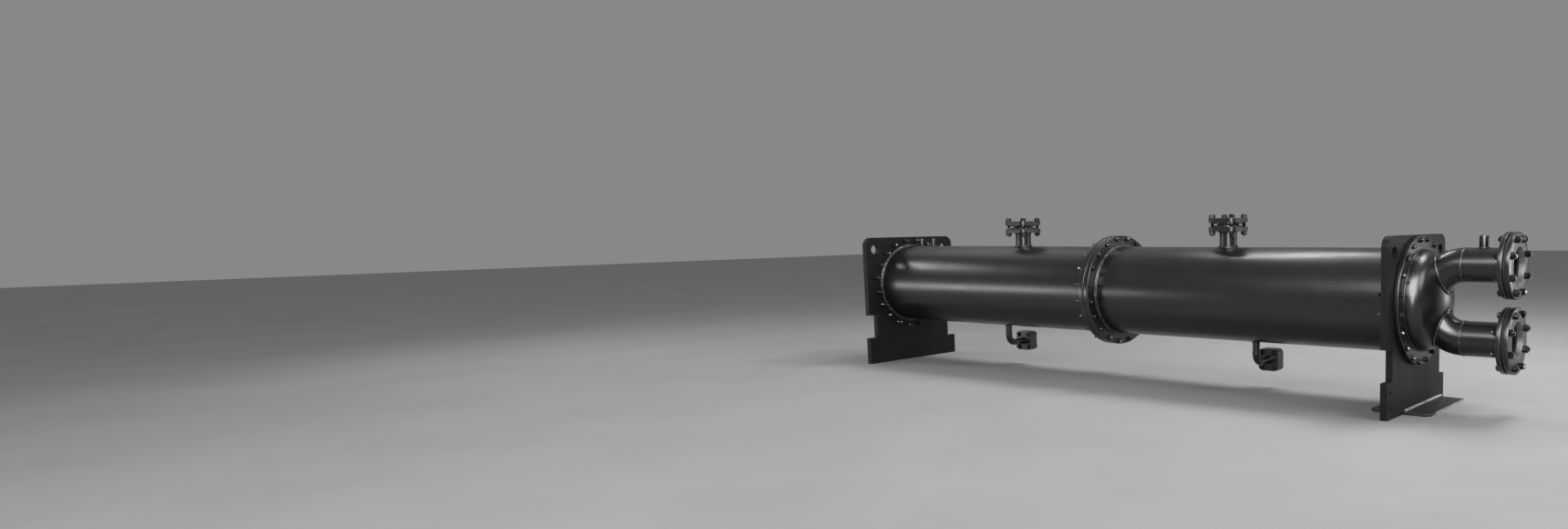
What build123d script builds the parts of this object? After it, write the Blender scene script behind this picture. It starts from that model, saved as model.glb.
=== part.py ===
from build123d import *
import os
from math import asin, cos, degrees, radians, sin, sqrt

os.makedirs("parts", exist_ok=True)

# A black horizontal shell and tube heat exchanger that stands on two steel plates.
# X runs along the shell towards the water nozzles, Y across it, Z up. Millimetres.
# The origin is on the floor, at the middle of the underside of the left plate.

# Main sizes
shell_diameter = 406.4
shell_wall = 8.0
axis_height = 425.0  # shell centre line above the floor
plate_spacing = 2960.0  # middle of the left plate to middle of the right plate
plate_thickness = 28.0
middle_x = 1490.0  # where the two shell halves meet

# Clearances between pieces
saddle_gap = 0.3  # between a pipe cut to a curve and the curved wall it is welded to
slip_gap = 0.3  # between a pipe and the flange that slips over it

# Bolting shared by the covers and by the joint in the middle
ring_bolt_count = 20
small_thread = 12.0
small_nut_width = 19.0
small_nut_height = 10.0
stud_end = 5.0  # how far a stud stands out of its nut, where nothing else is said
plate_stud_end = 26.0  # covers' studs, at the plates' inner faces
joint_stud_end = 20.0  # studs of the joint in the middle, on the left side
hole_clearance = 2.0  # hole diameter less thread diameter

# Joint in the middle
middle_lip = 51.8  # how far its flanges stand out from the shell
middle_flange_diameter = shell_diameter + 2 * middle_lip
middle_flange_thickness = 25.0
middle_bolt_edge = 14.0  # bolt centres to the rim
middle_bolt_circle = middle_flange_diameter - 2 * middle_bolt_edge
middle_gasket_thickness = 3.0
gasket_margin = 8.0  # gasket rim to the bolt holes
middle_gasket_diameter = middle_bolt_circle - small_thread - hole_clearance - 2 * gasket_margin

# Covers at the two ends
head_step = 0.4  # the heads are this much narrower than the bore of the shell
head_diameter = shell_diameter - 2 * shell_wall - head_step
head_wall = 8.0
crown_radius = 0.8 * head_diameter
knuckle_radius = 0.154 * head_diameter
head_skirt = 8.0  # straight part, in front of the flange
cover_lip = 54.0
cover_flange_diameter = head_diameter + 2 * cover_lip
cover_flange_thickness = 18.0
cover_bolt_edge = 11.5
cover_bolt_circle = cover_flange_diameter - 2 * cover_bolt_edge
cover_gasket_thickness = 2.0
cover_gasket_diameter = cover_bolt_circle - small_thread - hole_clearance - 2 * gasket_margin

# Support plates
plate_side_margin = 46.0  # cover rim to the side of the plate
plate_top_margin = 4.0
plate_width = cover_flange_diameter + 2 * plate_side_margin
plate_height = axis_height + cover_flange_diameter / 2 + plate_top_margin
corner_radius = 45.0
notch_depth = 50.0
notch_drop = 163.0  # top of the notches below the shell centre line
near_notch_length = 123.0
far_notch_length = 158.0  # the notch on the far side reaches lower
notch_top = axis_height - notch_drop
lifting_hole_diameter = 50.0
lifting_hole_offset = plate_width / 2 - 58.0  # either side of the middle
lifting_hole_height = plate_height - 64.0
side_hole_diameter = 14.0
side_hole_offset = plate_width / 2 - 30.0
side_hole_spacing = 58.0  # in each pair
low_pair_height = 72.0
high_pair_height = axis_height + 3.0

# Larger bolting of the nozzles
large_thread = 16.0
large_nut_width = 24.0
large_nut_height = 14.0

# Water nozzles
water_pipe_diameter = 133.0
water_pipe_wall = 4.0
water_bolt_count = 8
water_bolt_reach = 38.5  # pipe wall to bolt centres
water_bolt_edge = 20.0
water_bolt_circle = water_pipe_diameter + 2 * water_bolt_reach
water_flange_diameter = water_bolt_circle + 2 * water_bolt_edge
water_flange_thickness = 21.0
raised_face_height = 2.5  # of the water flanges, where they press on the gasket
raised_face_margin = 2.0  # raised face to the bolt holes
raised_face_diameter = water_bolt_circle - large_thread - hole_clearance - 2 * raised_face_margin
water_flange_gap = 26.0  # between the two flanges, one above the other
water_nozzle_offset = (water_flange_diameter + water_flange_gap) / 2  # off the shell centre line
water_gasket_thickness = 4.0
water_gasket_margin = 7.0  # gasket rim to the flange rim
water_gasket_diameter = water_flange_diameter - 2 * water_gasket_margin
counter_bore_diameter = water_pipe_diameter + 10.0
water_gasket_bore = water_pipe_diameter + 12.0
elbow_radius = 133.0
elbow_angle = 80.0
elbow_set_off = 53.0  # outer face of the right plate to the middle of the elbows' inner ends
elbow_reach = elbow_set_off + elbow_radius
elbow_end_x = plate_spacing + plate_thickness / 2 + elbow_reach
water_pipe_length = 172.0

# Vent on the upper water pipe
vent_diameter = 35.0
vent_bore = 20.0
vent_height = 46.0  # above the top of the pipe
vent_reach = 67.0  # from the end of the elbow
vent_x = elbow_end_x + vent_reach
vent_plug_depth = 4.0  # the plug stands this far below the rim
vent_plug_length = 16.0

# Gas nozzles on top of the shell
gas_nozzle_reach = 613.0  # either side of their middle
gas_middle_x = middle_x + 5.0
gas_pipe_diameter = 76.0
gas_pipe_wall = 4.0
gas_flange_width = 140.0
gas_flange_corner = 30.0
gas_flange_thickness = 20.0
gas_neck = 67.8  # top of the shell to the lower flange
gas_flange_bottom = axis_height + shell_diameter / 2 + gas_neck
gas_flange_gap = 18.0
gas_bolt_inset = 20.0
gas_bolt_spacing = gas_flange_width - 2 * gas_bolt_inset
gas_counter_bore = gas_pipe_diameter + 1.5
gas_seal_bore = gas_pipe_diameter + 6.0
gas_seal_diameter = gas_pipe_diameter + 20.0
gas_stud_end = 2.0  # above the nuts; below them the studs stand out by stud_end

# Two small closed couplings on top of the shell, beside the left plate
coupling_reaches = (97.0, 191.0)  # from the inner face of the left plate
coupling_diameter = 22.0
coupling_bore = 12.0
coupling_height = 40.0  # above the top of the shell
coupling_plug_depth = 3.0
coupling_plug_length = 12.0

# Drains under the shell
drain_reach = 743.5  # either side of their middle
drain_middle_x = middle_x + 12.5
drain_pipe_diameter = 32.0
drain_pipe_wall = 3.0
drain_drop = 92.8  # bottom of the shell to the centre line of the outlet
drain_height = axis_height - shell_diameter / 2 - drain_drop
drain_bend_radius = 38.0
drain_flange_width = 98.0
drain_flange_corner = 20.0
drain_flange_thickness = 24.0
drain_flange_face = 103.0  # nearest face, beyond the shell centre line
drain_gasket_thickness = 2.0
drain_bolt_inset = 17.0
drain_bolt_spacing = drain_flange_width - 2 * drain_bolt_inset
drain_counter_bore = drain_pipe_diameter + 1.5
drain_gasket_bore = drain_pipe_diameter + 5.0
drain_thread = 12.0

# Foot plates welded to the right plate
foot_reach = 106.0  # out from the plate, on both of its faces
foot_thickness = 10.0
foot_length = 397.0
foot_far_edge = plate_width / 2 - 45.0
foot_near_edge = foot_far_edge - foot_length
foot_chamfer = 18.0
foot_hole_diameter = 20.0
foot_hole_reach = 73.0  # from the middle of the plate
foot_hole_y = foot_far_edge - 74.0

shell_radius = shell_diameter / 2
shell_bore = shell_radius - shell_wall
right_plate_x = plate_spacing
face = plate_thickness / 2


def rod_x(radius, x0, x1, y=0.0, z=axis_height):
    return Pos((x0 + x1) / 2, y, z) * Rot(0, 90, 0) * Cylinder(radius, x1 - x0)


def rod_y(radius, y0, y1, x, z):
    return Pos(x, (y0 + y1) / 2, z) * Rot(90, 0, 0) * Cylinder(radius, y1 - y0)


def rod_z(radius, z0, z1, x, y=0.0):
    return Pos(x, y, (z0 + z1) / 2) * Cylinder(radius, z1 - z0)


def block(x0, x1, y0, y1, z0, z1):
    return Pos((x0 + x1) / 2, (y0 + y1) / 2, (z0 + z1) / 2) * Box(x1 - x0, y1 - y0, z1 - z0)


def ring_places(count, circle):
    # Bolts straddle the vertical centre line.
    step = 360 / count
    angles = [radians(step * (i + 0.5)) for i in range(count)]
    return [(circle / 2 * cos(a), circle / 2 * sin(a)) for a in angles]


def square_places(spacing):
    half = spacing / 2
    return [(-half, -half), (half, -half), (half, half), (-half, half)]


def nut(width, height):
    return extrude(RegularPolygon(radius=width / sqrt(3), side_count=6), amount=height)


def stud(thread, width, height, low_seat, high_seat, low_end=stud_end, high_end=stud_end):
    # A stud along Z with a nut on each seat, the nuts on the outside.
    low = low_seat - height - low_end
    high = high_seat + height + high_end
    body = Pos(0, 0, (low + high) / 2) * Cylinder(thread / 2, high - low)
    top_nut = Pos(0, 0, high_seat) * nut(width, height)
    low_nut = Pos(0, 0, low_seat - height) * nut(width, height)
    return body + top_nut + low_nut


def along_x(one, places, y=0.0, z=axis_height):
    return Compound([Pos(0, y + a, z + b) * Rot(0, 90, 0) * one for a, b in places])


def holes_x(diameter, x0, x1, places, y=0.0, z=axis_height):
    return [rod_x(diameter / 2, x0, x1, y + a, z + b) for a, b in places]


def save(shape, name):
    export_step(shape, "parts/" + name + ".step")


# Support plates: the shell is welded between them and the covers are bolted outside them
def notch(side, length):
    edge = side * plate_width / 2
    inner = side * (plate_width / 2 - notch_depth)
    return block(-face - 1, face + 1, min(edge, inner), max(edge, inner), notch_top - length, notch_top)


def side_holes(side, middle):
    places = [middle - side_hole_spacing / 2, middle + side_hole_spacing / 2]
    return [rod_x(side_hole_diameter / 2, -face, face, side * side_hole_offset, z) for z in places]


def support_plate():
    plate = block(-face, face, -plate_width / 2, plate_width / 2, 0, plate_height)
    top_corners = plate.edges().filter_by(Axis.X).sort_by(Axis.Z)[-2:]
    plate = fillet(top_corners, corner_radius)
    plate -= notch(-1, near_notch_length)
    plate -= notch(1, far_notch_length)
    for side in (-1, 1):
        y = side * lifting_hole_offset
        plate -= rod_x(lifting_hole_diameter / 2, -face, face, y, lifting_hole_height)
        plate -= side_holes(side, high_pair_height)
    plate -= side_holes(-1, low_pair_height)
    hole = small_thread + hole_clearance
    plate -= holes_x(hole, -face, face, ring_places(ring_bolt_count, cover_bolt_circle))
    return plate


plate = support_plate()
save(plate, "left_plate")
save(Pos(right_plate_x, 0, 0) * plate, "right_plate")


# Shell: two tubes that meet at the flanged joint
gas_x = (gas_middle_x - gas_nozzle_reach, gas_middle_x + gas_nozzle_reach)
drain_x = (drain_middle_x - drain_reach, drain_middle_x + drain_reach)
joint_half = middle_flange_thickness + middle_gasket_thickness / 2
gas_bore = gas_pipe_diameter / 2 - gas_pipe_wall
drain_bore = drain_pipe_diameter / 2 - drain_pipe_wall


def shell_half(x0, x1, gas, drain):
    tube = rod_x(shell_radius, x0, x1) - rod_x(shell_bore, x0, x1)
    tube -= rod_z(gas_bore, axis_height, axis_height + shell_diameter, gas)
    tube -= rod_z(drain_bore, axis_height - shell_diameter, axis_height, drain)
    return tube


shell_outside = rod_x(shell_radius + saddle_gap, face, right_plate_x - face)
coupling_top = axis_height + shell_radius + coupling_height
coupling_plug_top = coupling_top - coupling_plug_depth
coupling_x = [face + reach for reach in coupling_reaches]
coupling_bores = [rod_z(coupling_bore / 2, axis_height, coupling_top, x) for x in coupling_x]
couplings = [rod_z(coupling_diameter / 2, axis_height, coupling_top, x) - bore - shell_outside
             for x, bore in zip(coupling_x, coupling_bores)]
plugs = [rod_z(coupling_bore / 2 - slip_gap, coupling_plug_top - coupling_plug_length, coupling_plug_top, x)
         for x in coupling_x]
save(Compound(couplings), "shell_couplings")
save(Compound(plugs), "shell_plugs")
left_shell = shell_half(face, middle_x - joint_half, gas_x[0], drain_x[0]) - coupling_bores
save(left_shell, "left_shell")
save(shell_half(middle_x + joint_half, right_plate_x - face, gas_x[1], drain_x[1]), "right_shell")


# Joint in the middle: two flanges, a gasket and a ring of studs
def joint_flange(x0, x1):
    places = ring_places(ring_bolt_count, middle_bolt_circle)
    ring = rod_x(middle_flange_diameter / 2, x0, x1) - rod_x(shell_bore, x0, x1)
    return ring - holes_x(small_thread + hole_clearance, x0, x1, places)


gasket_half = middle_gasket_thickness / 2
save(joint_flange(middle_x - joint_half, middle_x - gasket_half), "left_joint_flange")
save(joint_flange(middle_x + gasket_half, middle_x + joint_half), "right_joint_flange")
joint_gasket = rod_x(middle_gasket_diameter / 2, middle_x - gasket_half, middle_x + gasket_half)
joint_gasket -= rod_x(shell_bore, middle_x - gasket_half, middle_x + gasket_half)
save(joint_gasket, "joint_gasket")
joint_stud = stud(small_thread, small_nut_width, small_nut_height, middle_x - joint_half,
                  middle_x + joint_half, joint_stud_end)
save(along_x(joint_stud, ring_places(ring_bolt_count, middle_bolt_circle)), "joint_bolts")


# Covers, made at the right end and turned round for the left end
gasket_x = right_plate_x + face
flange_x = gasket_x + cover_gasket_thickness
head_x = flange_x + cover_flange_thickness
dome_x = head_x + head_skirt


crown_angle = asin((head_diameter / 2 - knuckle_radius) / (crown_radius - knuckle_radius))
crown_centre = -(crown_radius - knuckle_radius) * cos(crown_angle)


def dome(offset=0.0):
    # A filled head: a straight skirt, a tight knuckle and a flatter crown; the offset grows it.
    radius = head_diameter / 2 + offset
    turn = degrees(crown_angle)
    crown = CenterArc((crown_centre, 0), crown_radius + offset, 0, turn)
    knuckle = CenterArc((0, head_diameter / 2 - knuckle_radius), knuckle_radius + offset, turn, 90 - turn)
    skirt = Polyline((0, radius), (-head_skirt, radius), (-head_skirt, 0), crown @ 0)
    return Pos(dome_x, 0, axis_height) * revolve(make_face([crown, knuckle, skirt]), Axis.X, 360)


def cover_flange():
    ring = rod_x(cover_flange_diameter / 2, flange_x, head_x)
    ring -= rod_x(head_diameter / 2 - head_wall, flange_x, head_x)
    places = ring_places(ring_bolt_count, cover_bolt_circle)
    return ring - holes_x(small_thread + hole_clearance, flange_x, head_x, places)


def cover_gasket():
    ring = rod_x(cover_gasket_diameter / 2, gasket_x, flange_x)
    return ring - rod_x(head_diameter / 2 - head_wall, gasket_x, flange_x)


def cover_bolts():
    inner_face = right_plate_x - face
    one = stud(small_thread, small_nut_width, small_nut_height, inner_face, head_x, plate_stud_end)
    return along_x(one, ring_places(ring_bolt_count, cover_bolt_circle))


def left_end(shape):
    return mirror(Pos(-plate_spacing, 0, 0) * shape, Plane.YZ)


for make in (cover_flange, cover_gasket, cover_bolts):
    save(make(), "right_" + make.__name__)
    save(left_end(make()), "left_" + make.__name__)
hollow_head = dome() - dome(-head_wall)
save(left_end(hollow_head), "left_head")


# Water nozzles: an elbow out of the head, a straight pipe and a bolted flange pair
upper_z = axis_height + water_nozzle_offset
pipe_end_x = elbow_end_x + water_pipe_length
water_radius = water_pipe_diameter / 2
water_bore = water_radius - water_pipe_wall


def elbow_rod(radius, extra=0.0):
    # The upper elbow filled in; it starts inside the head and ends level.
    turn = Pos(elbow_end_x, 0, upper_z) * Rot(90, 0, 0)
    centre = turn * Pos(0, -elbow_radius, 0)
    profile = turn * Rot(0, 90, 0) * Circle(radius)
    axis = Axis((elbow_end_x, 0, upper_z - elbow_radius), (0, 1, 0))
    return revolve(profile, axis, -(elbow_angle + extra))


solid_head = dome(saddle_gap)
level = Plane((0, 0, axis_height), z_dir=(0, 0, 1))
upper_elbow = elbow_rod(water_radius) - elbow_rod(water_bore) - solid_head
upper_elbow = upper_elbow.solids().sort_by(Axis.X)[-1]
lower_elbow = mirror(upper_elbow, level)
save(upper_elbow, "upper_elbow")
save(lower_elbow, "lower_elbow")
bore_cut = elbow_rod(water_bore)
right_head = hollow_head - bore_cut - mirror(bore_cut, level)
save(right_head, "right_head")


def water_pipe(z):
    outside = rod_x(water_radius, elbow_end_x, pipe_end_x, 0, z)
    return outside - rod_x(water_bore, elbow_end_x, pipe_end_x, 0, z)


water_places = ring_places(water_bolt_count, water_bolt_circle)


def water_ring(x0, x1, diameter, bore, z):
    # A flat ring along X, with the bolt holes of the water nozzles.
    ring = rod_x(diameter / 2, x0, x1, 0, z) - rod_x(bore / 2, x0, x1, 0, z)
    return ring - holes_x(large_thread + hole_clearance, x0, x1, water_places, 0, z)


def water_flange(back, front, bore, z):
    # The raised face is at the front, which may lie on either side of the back.
    step = front - raised_face_height if front > back else front + raised_face_height
    body = water_ring(min(back, step), max(back, step), water_flange_diameter, bore, z)
    raised = rod_x(raised_face_diameter / 2, min(step, front), max(step, front), 0, z)
    return body + raised - rod_x(bore / 2, min(back, front), max(back, front), 0, z)


flange_back = pipe_end_x - water_flange_thickness
counter_x = pipe_end_x + water_gasket_thickness
counter_end = counter_x + water_flange_thickness
slip_bore = water_pipe_diameter + 2 * slip_gap
water_stud = stud(large_thread, large_nut_width, large_nut_height, flange_back, counter_end)
for name, z in (("upper", upper_z), ("lower", axis_height - water_nozzle_offset)):
    save(water_flange(flange_back, pipe_end_x, slip_bore, z), name + "_flange")
    save(water_ring(pipe_end_x, counter_x, water_gasket_diameter, water_gasket_bore, z), name + "_gasket")
    save(water_flange(counter_end, counter_x, counter_bore_diameter, z), name + "_counter_flange")
    save(along_x(water_stud, water_places, 0, z), name + "_bolts")


# Vent coupling on the upper pipe, closed by a plug
vent_top = upper_z + water_radius + vent_height
vent = rod_z(vent_diameter / 2, upper_z, vent_top, vent_x) - rod_z(vent_bore / 2, upper_z, vent_top, vent_x)
vent -= rod_x(water_radius + saddle_gap, vent_x - vent_diameter, vent_x + vent_diameter, 0, upper_z)
save(vent, "vent_coupling")
plug_top = vent_top - vent_plug_depth
save(rod_z(vent_bore / 2 - slip_gap, plug_top - vent_plug_length, plug_top, vent_x), "vent_plug")
upper_pipe = water_pipe(upper_z) - rod_z(vent_bore / 2, upper_z, vent_top, vent_x)
save(upper_pipe, "upper_pipe")
save(water_pipe(axis_height - water_nozzle_offset), "lower_pipe")


# Gas nozzles: a short upright pipe with two square flanges held apart by a seal ring
def square_flange(width, corner, thickness):
    return extrude(RectangleRounded(width, width, corner), amount=thickness)


def gas_flange(x, z, bore_radius):
    flange = Pos(x, 0, z) * square_flange(gas_flange_width, gas_flange_corner, gas_flange_thickness)
    flange -= rod_z(bore_radius, z, z + gas_flange_thickness, x)
    for a, b in square_places(gas_bolt_spacing):
        flange -= rod_z((large_thread + hole_clearance) / 2, z, z + gas_flange_thickness, x + a, b)
    return flange


gas_face = gas_flange_bottom + gas_flange_thickness
gas_counter = gas_face + gas_flange_gap
gas_top = gas_counter + gas_flange_thickness
gas_stud = stud(large_thread, large_nut_width, large_nut_height, gas_flange_bottom, gas_top,
                high_end=gas_stud_end)
for side, x in zip(("left", "right"), gas_x):
    pipe = rod_z(gas_pipe_diameter / 2, axis_height, gas_face, x) - rod_z(gas_bore, axis_height, gas_face, x)
    save(pipe - shell_outside, side + "_gas_pipe")
    save(gas_flange(x, gas_flange_bottom, gas_pipe_diameter / 2 + slip_gap), side + "_gas_flange")
    save(gas_flange(x, gas_counter, gas_counter_bore / 2), side + "_gas_counter_flange")
    seal = rod_z(gas_seal_diameter / 2, gas_face, gas_counter, x)
    save(seal - rod_z(gas_seal_bore / 2, gas_face, gas_counter, x), side + "_gas_seal")
    studs = [Pos(x + a, b, 0) * gas_stud for a, b in square_places(gas_bolt_spacing)]
    save(Compound(studs), side + "_gas_bolts")


# Drains: a pipe down from the shell that turns away and ends in a square flange pair
def drain_rod(radius, x):
    # Down from the shell, round the bend and out to the flange face.
    top = axis_height - shell_bore
    bend_top = drain_height + drain_bend_radius
    drop = rod_z(radius, bend_top, top, x)
    bend_axis = Axis((x, drain_bend_radius, bend_top), (1, 0, 0))
    bend = revolve(Pos(x, 0, bend_top) * Circle(radius), bend_axis, 90)
    run = rod_y(radius, drain_bend_radius, drain_face, x, drain_height)
    return drop + bend + run


def drain_flange(x, y0, y1, bore_radius):
    flat = Pos(x, y1, drain_height) * Rot(90, 0, 0)
    flange = flat * square_flange(drain_flange_width, drain_flange_corner, y1 - y0)
    flange -= rod_y(bore_radius, y0, y1, x, drain_height)
    for a, b in square_places(drain_bolt_spacing):
        flange -= rod_y((drain_thread + hole_clearance) / 2, y0, y1, x + a, drain_height + b)
    return flange


drain_face = drain_flange_face + drain_flange_thickness
drain_counter = drain_face + drain_gasket_thickness
drain_end = drain_counter + drain_flange_thickness
drain_stud = stud(drain_thread, small_nut_width, small_nut_height, drain_flange_face, drain_end)
drain_stud = Rot(-90, 0, 0) * drain_stud
drain_slip = drain_pipe_diameter / 2 + slip_gap
for side, x in zip(("left", "right"), drain_x):
    pipe = drain_rod(drain_pipe_diameter / 2, x) - drain_rod(drain_bore, x) - shell_outside
    save(pipe, side + "_drain_pipe")
    save(drain_flange(x, drain_flange_face, drain_face, drain_slip), side + "_drain_flange")
    save(drain_flange(x, drain_counter, drain_end, drain_counter_bore / 2), side + "_drain_counter_flange")
    save(drain_flange(x, drain_face, drain_counter, drain_gasket_bore / 2), side + "_drain_gasket")
    bolts = [Pos(x + a, 0, drain_height + b) * drain_stud for a, b in square_places(drain_bolt_spacing)]
    save(Compound(bolts), side + "_drain_bolts")


# Foot plates: flat pieces welded low on both faces of the right plate, set to the far side
def foot(direction):
    x0 = right_plate_x + direction * face
    x1 = right_plate_x + direction * (face + foot_reach)
    plate = block(min(x0, x1), max(x0, x1), foot_near_edge, foot_far_edge, 0, foot_thickness)
    outer_corner = plate.edges().filter_by(Axis.Z).sort_by(Axis.Y)[:2].sort_by(Axis.X)
    plate = chamfer(outer_corner[-1 if direction > 0 else 0], foot_chamfer)
    hole_x = right_plate_x + direction * foot_hole_reach
    return plate - rod_z(foot_hole_diameter / 2, 0, foot_thickness, hole_x, foot_hole_y)


save(foot(1), "outer_foot")
save(foot(-1), "inner_foot")
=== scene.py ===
# %% [markdown]
# # A shell and tube heat exchanger, dressed for the camera
# The solids of this object come from a CAD model: a long black shell between two steel
# plates, a bolted joint in its middle, two domed covers, and flanged nozzles. This lesson
# keeps the solids whose shape is right, makes new pieces where a solid is too plain
# (bolting, welds, edges that catch the light), and then gives each piece its finish.
# The first cell loads the model.

# %% Load the model
import random
from math import cos, pi, radians, sin, sqrt

import bmesh
import bpy
from mathutils import Matrix, Vector


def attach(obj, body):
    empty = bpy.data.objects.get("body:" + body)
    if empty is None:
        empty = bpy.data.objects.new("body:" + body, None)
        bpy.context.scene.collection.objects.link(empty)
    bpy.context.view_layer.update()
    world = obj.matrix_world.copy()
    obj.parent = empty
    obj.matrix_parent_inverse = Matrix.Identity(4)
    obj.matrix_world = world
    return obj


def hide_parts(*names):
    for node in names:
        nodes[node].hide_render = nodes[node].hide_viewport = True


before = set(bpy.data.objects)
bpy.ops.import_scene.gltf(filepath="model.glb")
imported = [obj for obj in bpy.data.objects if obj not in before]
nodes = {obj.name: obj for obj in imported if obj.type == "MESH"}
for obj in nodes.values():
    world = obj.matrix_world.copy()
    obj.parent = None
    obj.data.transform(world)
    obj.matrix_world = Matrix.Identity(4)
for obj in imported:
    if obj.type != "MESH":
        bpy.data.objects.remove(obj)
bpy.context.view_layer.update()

# %% [markdown]
# ## The main sizes
# Blender works in metres here. The places below are those of the model: X runs along the
# shell, Z is up, and the shell's centre line is 425 mm above the floor. Everything that is
# added to the solids is placed from these numbers, so it sits where they do.

# %% Main sizes
MM = 0.001
AXIS_Z = 425 * MM
SHELL_R = 203.2 * MM
PLATE_HALF = 14 * MM  # half of a plate's thickness; the left plate's middle is at X = 0
RIGHT_X = 2960 * MM  # the middle of the right-hand plate
COVERS = {"left": (-34 * MM, -16 * MM), "right": (2976 * MM, 2994 * MM)}  # both sides of a ring
JOINTS = {"left": (1463.5 * MM, 1488.5 * MM), "right": (1491.5 * MM, 1516.5 * MM)}
UPPER_Z, LOWER_Z = 563 * MM, 287 * MM  # the centre lines of the water nozzles
WATER_R = 66.5 * MM
ELBOW_END = 3160 * MM
FLANGE_BACK, FLANGE_FACE = 3311 * MM, 3332 * MM
COUNTER_FACE, COUNTER_BACK = 3336 * MM, 3357 * MM
GAS_X = (882 * MM, 2108 * MM)
GAS_LOW, GAS_HIGH = 696 * MM, 754 * MM  # underside and top of a pair of square flanges
GAP_LOW, GAP_HIGH = 716 * MM, 734 * MM  # the slot between the two
DRAIN_X = (759 * MM, 2246 * MM)
DRAIN_Z = 129 * MM
DRAIN_BACK, DRAIN_FRONT = 103 * MM, 153 * MM  # where the nuts of a drain sit, along Y
TURN = 2 * pi
dice = random.Random(7)
print("shell", round(2 * SHELL_R, 4), "m across")

# %% [markdown]
# ## Working by hand, but in code
# Blender's operators act on whatever is selected, and loading a model leaves it all
# selected. So each step first lets go of everything, and then picks what it needs by place.
# These helpers do that: one clears the selection, one opens a piece in edit mode and picks
# faces, edges or corners with a test, and one closes it again with its place in its mesh.

# %% Helpers for selecting and finishing
def let_go():
    if bpy.context.object and bpy.context.object.mode != "OBJECT":
        bpy.ops.object.mode_set(mode="OBJECT")
    bpy.ops.object.select_all(action="DESELECT")


def hold(piece, *others):
    let_go()
    for one in (*others, piece):
        one.select_set(True)
    bpy.context.view_layer.objects.active = piece
    return piece


def edit(piece, kind="FACE"):
    hold(piece)
    bpy.ops.object.mode_set(mode="EDIT")
    bpy.ops.mesh.select_mode(type=kind)
    bpy.ops.mesh.select_all(action="DESELECT")


def pick(kind, test):
    # Selects the faces, edges or corners of the piece in edit mode that pass a test.
    mesh = bpy.context.object.data
    inside = bmesh.from_edit_mesh(mesh)
    parts = {"FACE": inside.faces, "EDGE": inside.edges, "VERT": inside.verts}[kind]
    found = [part for part in parts if test(part)]
    for part in found:
        part.select_set(True)
    inside.select_flush_mode()
    bmesh.update_edit_mesh(mesh)
    return len(found)


def settle(piece):
    # The place and the turn go into the mesh, so that the object itself sits at the origin.
    hold(piece)
    bpy.ops.object.transform_apply(location=True, rotation=True, scale=True)
    return piece


def outwards(piece):
    edit(piece)
    bpy.ops.mesh.select_all(action="SELECT")
    bpy.ops.mesh.remove_doubles(threshold=0.00002)
    bpy.ops.mesh.normals_make_consistent(inside=False)
    bpy.ops.object.mode_set(mode="OBJECT")
    return piece


def smooth(piece, angle=35):
    hold(piece)
    bpy.ops.object.shade_smooth_by_angle(angle=radians(angle))
    return piece


def join(pieces, name):
    first = pieces[0]
    hold(first, *pieces[1:])
    if len(pieces) > 1:
        bpy.ops.object.join()
    first.name = name
    first.data.name = name
    return first


print("helpers ready")

# %% [markdown]
# ## A place for every piece
# Each new piece rides on the part's one body, and most of them stand for a solid, which is
# then hidden. Both are done in one call.
# The finishes are made last, so a piece gets stand-ins first: one for its flat faces, one
# for the strips that catch the light, and one for what is cut or bored.

# %% Fit a piece to the part
fitted = []
FLAT, EDGE, CUT = (bpy.data.materials.new("stand_in_" + word) for word in ("flat", "edge", "cut"))


def mark(piece, count, where=None):
    # Gives a piece its finish slots, and puts the faces that pass a test in the last one.
    while len(piece.data.materials) < count:
        piece.data.materials.append((FLAT, EDGE, CUT)[len(piece.data.materials)])
    for face in piece.data.polygons:
        if where and where(face):
            face.material_index = count - 1


def fit(piece, slot, *stands_for):
    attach(piece, "root")
    if stands_for:
        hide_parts(*stands_for)
    fitted.append(piece)
    return piece


# %% [markdown]
# ## The camera
# It stands where the photographer stood, off the near corner of the right-hand plate, at a
# height of 0.73 m. Place, turn and lens come from a fit of about 150 points of the picture.
# The shift belongs to the picture's framing, in which the object sits far to the right.

# %% The camera
scene = bpy.context.scene
camera = bpy.data.objects.new("camera", bpy.data.cameras.new("camera"))
scene.collection.objects.link(camera)
yaw, pitch, roll = 0.599, 0.107, -0.0125
camera.matrix_world = (
    Matrix.Translation((4.351, -3.565, 0.730))
    @ Matrix.Rotation(yaw, 4, "Z")
    @ Matrix.Rotation(pi / 2 - pitch, 4, "X")
    @ Matrix.Rotation(roll, 4, "Z")
)
FRAME_WIDTH, FRAME_HEIGHT = 1720, 580
FOCAL = 1056.04  # focal length, in pixels of the picture
camera.data.sensor_width = 36
camera.data.lens = FOCAL / FRAME_WIDTH * camera.data.sensor_width
camera.data.shift_x = (FRAME_WIDTH / 2 - 1308.9) / FRAME_WIDTH
camera.data.shift_y = (359 - FRAME_HEIGHT / 2) / FRAME_WIDTH
scene.camera = camera
print("lens", round(camera.data.lens, 2), "mm")

# %% [markdown]
# ## Steel plate with eased edges
# Flame-cut plate never has a razor edge: it is ground off, and the thin rounded strip
# catches light all along the outline. The solid's shape is right, so a copy of its mesh is
# merged, its flat faces are joined up, and a bevel modifier rounds only the sharp edges.

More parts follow.
